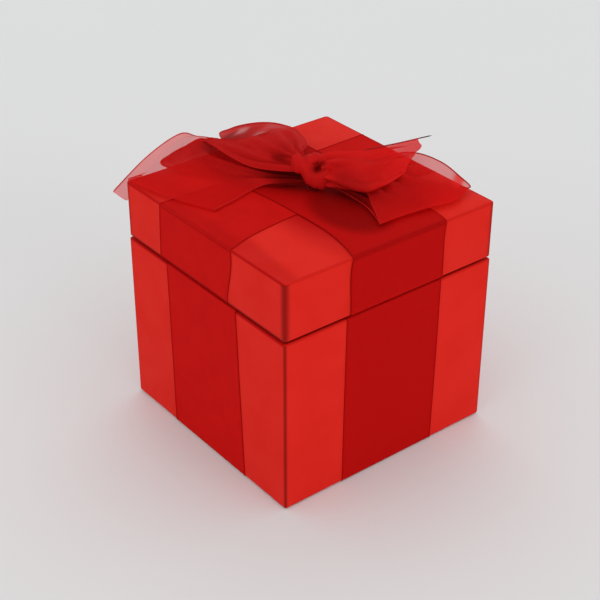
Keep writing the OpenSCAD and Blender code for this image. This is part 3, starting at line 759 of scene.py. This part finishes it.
bow_part("bow_left_tail", "bow_tail_left", [
    [(-1.2, -2.9, 93.5), (-7.2, 5.5, 91.4), (-10.5, 10.4, 89.9), (-15.5, 11.2, 89.0),
     (-20, 10.2, 88.9), (-24.3, 9, 88.85), (-29.5, 8, 88.85), (-34.4, 7.2, 88.85)],
    [(-0.6, -1.9, 93.2), (-7, 8, 91.6), (-11.5, 15, 90.8), (-16.5, 19.5, 90.4), (-21.5, 21, 90.0),
     (-27, 21, 89.6), (-33, 20.4, 89.4), (-39.6, 19.5, 89.1)],
    [(0, -0.8, 93.1), (-7, 10, 91.8), (-11.5, 20, 91.3), (-16, 28, 91.6), (-22, 31.5, 92.2),
     (-29, 32.4, 91.4), (-36, 32, 90.2), (-43, 30, 89.4)],
    [(0.6, 0.2, 93.3), (-6.6, 12, 91.8), (-10.5, 24, 91.4), (-14, 34.5, 92.4), (-21, 39, 95.1),
     (-29, 41, 92.8), (-36.5, 41.4, 89.9), (-44.4, 40.5, 88.9)],
    [(0.9, 0.7, 93.5), (-5.8, 13, 91.9), (-8.6, 27, 91.2), (-11, 39, 92.6), (-18.5, 44, 96.6),
     (-29, 45, 92.4), (-36, 46, 88.4), (-43.6, 46.2, 86.0)],
    [(1.1, 1.2, 93.7), (-4.8, 14.4, 92.0), (-6.6, 29.6, 91.2), (-8.4, 42.4, 92.4),
     (-17, 46.4, 96.7), (-29.6, 47, 92.8), (-36, 47.4, 88.0), (-42.8, 47.6, 78.5)],
    [(1.4, 1.8, 94.1), (-3.8, 16, 92.2), (-4.4, 32, 91.4), (-6.6, 44.8, 93.0), (-13.4, 47, 95.4),
     (-20.6, 47.2, 98.2), (-34, 47.8, 93.2), (-48.1, 49, 83.3)]],
    long=60.0, folds=4, depth=0.8, tone=1.08,
    deep=[(0, 0.5, 0.22, 1, 0.95)])
bow_part("bow_right_tail", "bow_tail_right", [
    [(5.1, 0.6, 99.8), (7.6, -0.6, 100.2), (10.5, -0.4, 99.8), (15, -1.6, 98.4), (21, -3.6, 98.6),
     (32, -7.3, 99), (41.9, -8.9, 99)],
    [(3.6, -2.1, 99.9), (5.9, -3.6, 100.4), (9, -5.4, 100.7), (15, -6.6, 99.4), (22, -8.4, 98.8),
     (32, -11, 98), (41.2, -11.6, 96.8)],
    [(2.1, -4.6, 97.9), (4.4, -6.3, 98.2), (7, -10, 98.4), (11.6, -13.6, 98), (18, -15, 97.4),
     (27, -14.6, 96.6), (36.8, -12.8, 95)],
    [(1.7, -5.4, 94.2), (3.9, -7.1, 93.2), (5.2, -13, 92.4), (8, -20.6, 92.9), (13.5, -21.2, 93.5),
     (21, -19.4, 93.7), (29.4, -17.6, 93.6)],
    [(2.4, -4.1, 91.2), (4.7, -5.7, 91.2), (8.4, -8, 92.6), (14, -11.4, 94.2), (19, -12, 94.7),
     (28, -9.6, 94.6), (37, -8.4, 94.8)]],
    long=37.0, folds=4, depth=1.3, tone=1.08,
    ends=[(0, 1), (0.2, 1), (0.45, 0.985), (0.62, 0.96), (0.8, 0.97), (1, 0.96)],
    layers=[(0, 0.5, 0.55, 1, 4), (1, 0.4, 0.25, 1, 0.9)],
    deep=[(0, 0.5, 0.5, 1, 0.22), (0.03, 0.37, 0.08, 0.11, 0.55), (0.4, 0.73, 0.18, 0.2, 0.26),
          (0.46, 0.47, 0.2, 0.28, 0.15)],
    tips=(6.2, 0), wire=(0.22, 0.17), dark=(0.4, 0))

# ------------------------------------------------------------------ knot of the bow
# The ribbon's own turn round its middle, drawn tight. It is a round bundle with a smaller one
# beside it, and the end of the turn dips into a small hollow that faces the front.
KNOT_RED, KNOT_DEEP = (0.58, 0.0105, 0.0100, 1), (0.48, 0.0070, 0.0066, 1)
KNOT_PLACE, KNOT_TURN = np.array([3.2, -0.3, 94.9]), np.radians(-30.0)
KNOT_MIDDLE, KNOT_HALF = -1.15, 7.35
BIG_BUNDLE = dict(middle=0.0, half=6.25, thick=6.2)
SMALL_BUNDLE = dict(middle=-5.9, half=2.6, thick=3.8)
SMALL_FROM, SMALL_TO = -3.6, -6.0  # places along the knot where the small bundle's shift grows
SMALL_ASIDE, SMALL_UP = 1.0, 2.5  # that shift, where it is full
HOLLOWS = [((1.0, -4.6, 98.8), (0.870, -0.209, 0.447), 2.9, 1.8, 3.4),
           ((1.4, -3.2, 100.3), (0.870, -0.330, 0.360), 2.0, 0.5, 0.8)]


def bundle(s, middle, half, thick):
    """Radius at places s along the knot of a bundle: the height of an ellipse."""
    return thick * np.sqrt(np.clip(1 - ((s - middle) / half)**2, 0, None))


def knot_surface(around, along):
    """Points of the knot at angles around and along it. Its radius is a soft maximum of those of
    its two bundles a and b, log(e^(3a) + e^(3b) - 1) / 3, with a slight ripple. Its lower half is
    squat, and the smaller bundle is moved aside and up by a smooth step."""
    s = KNOT_MIDDLE - KNOT_HALF * np.cos(along)
    big, small = bundle(s, **BIG_BUNDLE), bundle(s, **SMALL_BUNDLE)
    radius = np.log(np.exp(3 * big) + np.exp(3 * small) - 1) / 3
    radius[[0, -1]] = 0
    radius = radius + 0.14 * np.sin(2.2 * s + 1.4 * np.sin(around + 0.6)) * np.sin(along)
    aside, rise = np.cos(around), np.sin(around)
    low = rise < 0
    squat = 0.72 + 0.3 * ((s + 3) / 5).clip(0, 1)
    aside = np.where(low, np.sign(aside) * np.abs(aside)**0.7, aside)
    rise = np.where(low, -squat * np.abs(rise)**0.7, rise)
    moved = ((SMALL_FROM - s) / (SMALL_FROM - SMALL_TO)).clip(0, 1)
    moved = moved**2 * (3 - 2 * moved)
    ahead = np.array([np.cos(KNOT_TURN), np.sin(KNOT_TURN), 0])
    sideways = np.array([-ahead[1], ahead[0], 0])
    return (KNOT_PLACE + s[..., None] * ahead
            + (radius * aside + SMALL_ASIDE * moved)[..., None] * sideways
            + (radius * rise + SMALL_UP * moved)[..., None] * np.array([0, 0, 1]))


def hollowed(points):
    """Points pushed in towards the middle of the knot round its hollows, and for each point a share
    up to 1 of how far into a hollow it lies, by which shade is painted into the knot's red. A
    hollow has a centre, a way, a length along it, a width and a depth, and falls off as the bell
    curve of the distance from its centre."""
    inwards = KNOT_PLACE - points
    inwards /= np.linalg.norm(inwards, axis=-1)[..., None] + 1e-9
    push, deep = np.zeros(points.shape[:-1]), np.zeros(points.shape[:-1])
    for centre, way, length, width, depth in HOLLOWS:
        way = np.array(way) / np.linalg.norm(way)
        off = points - np.array(centre)
        along = off @ way
        aside = np.linalg.norm(off - along[..., None] * way, axis=-1)
        bell = np.exp(-(along / length)**2 - (aside / width)**2)
        push, deep = push + depth * bell, np.maximum(deep, bell)
    return points + inwards * push[..., None], deep


full_turn, half_turn = np.linspace(0, 2 * np.pi, 96, endpoint=False), np.linspace(0, np.pi, 73)
around, along = np.meshgrid(full_turn, half_turn)
knot_points, hollow = hollowed(knot_surface(around, along))
knot_points[..., 2] = knot_points[..., 2].clip(min=LID_TOP + BOW_CLEAR)
knot_cloth = Finish("knot_cloth")
point, _ = knot_cloth.place()
clouds = knot_cloth.noise(point, 3.0, 3.0)
cloudy = knot_cloth.blend(clouds, KNOT_RED, KNOT_DEEP)
# the darker red blended in by the number deep is painted shade in the knot's hollows
knot_finish = knot_cloth.surface(
    Base_Color=knot_cloth.blend(knot_cloth.number("deep"), cloudy, BOW_SHADE),
    Roughness=0.7, Specular_IOR_Level=0.02, Normal=knot_cloth.bump(clouds, 0.2, 0.5))
knot = new_piece("bow_knot_bundle", knot_points, sheet_faces(*around.shape, ring=True), knot_finish,
                 "lid", "bow_ribbon", deep=hollow.clip(0, 0.7))
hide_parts("bow_knot")
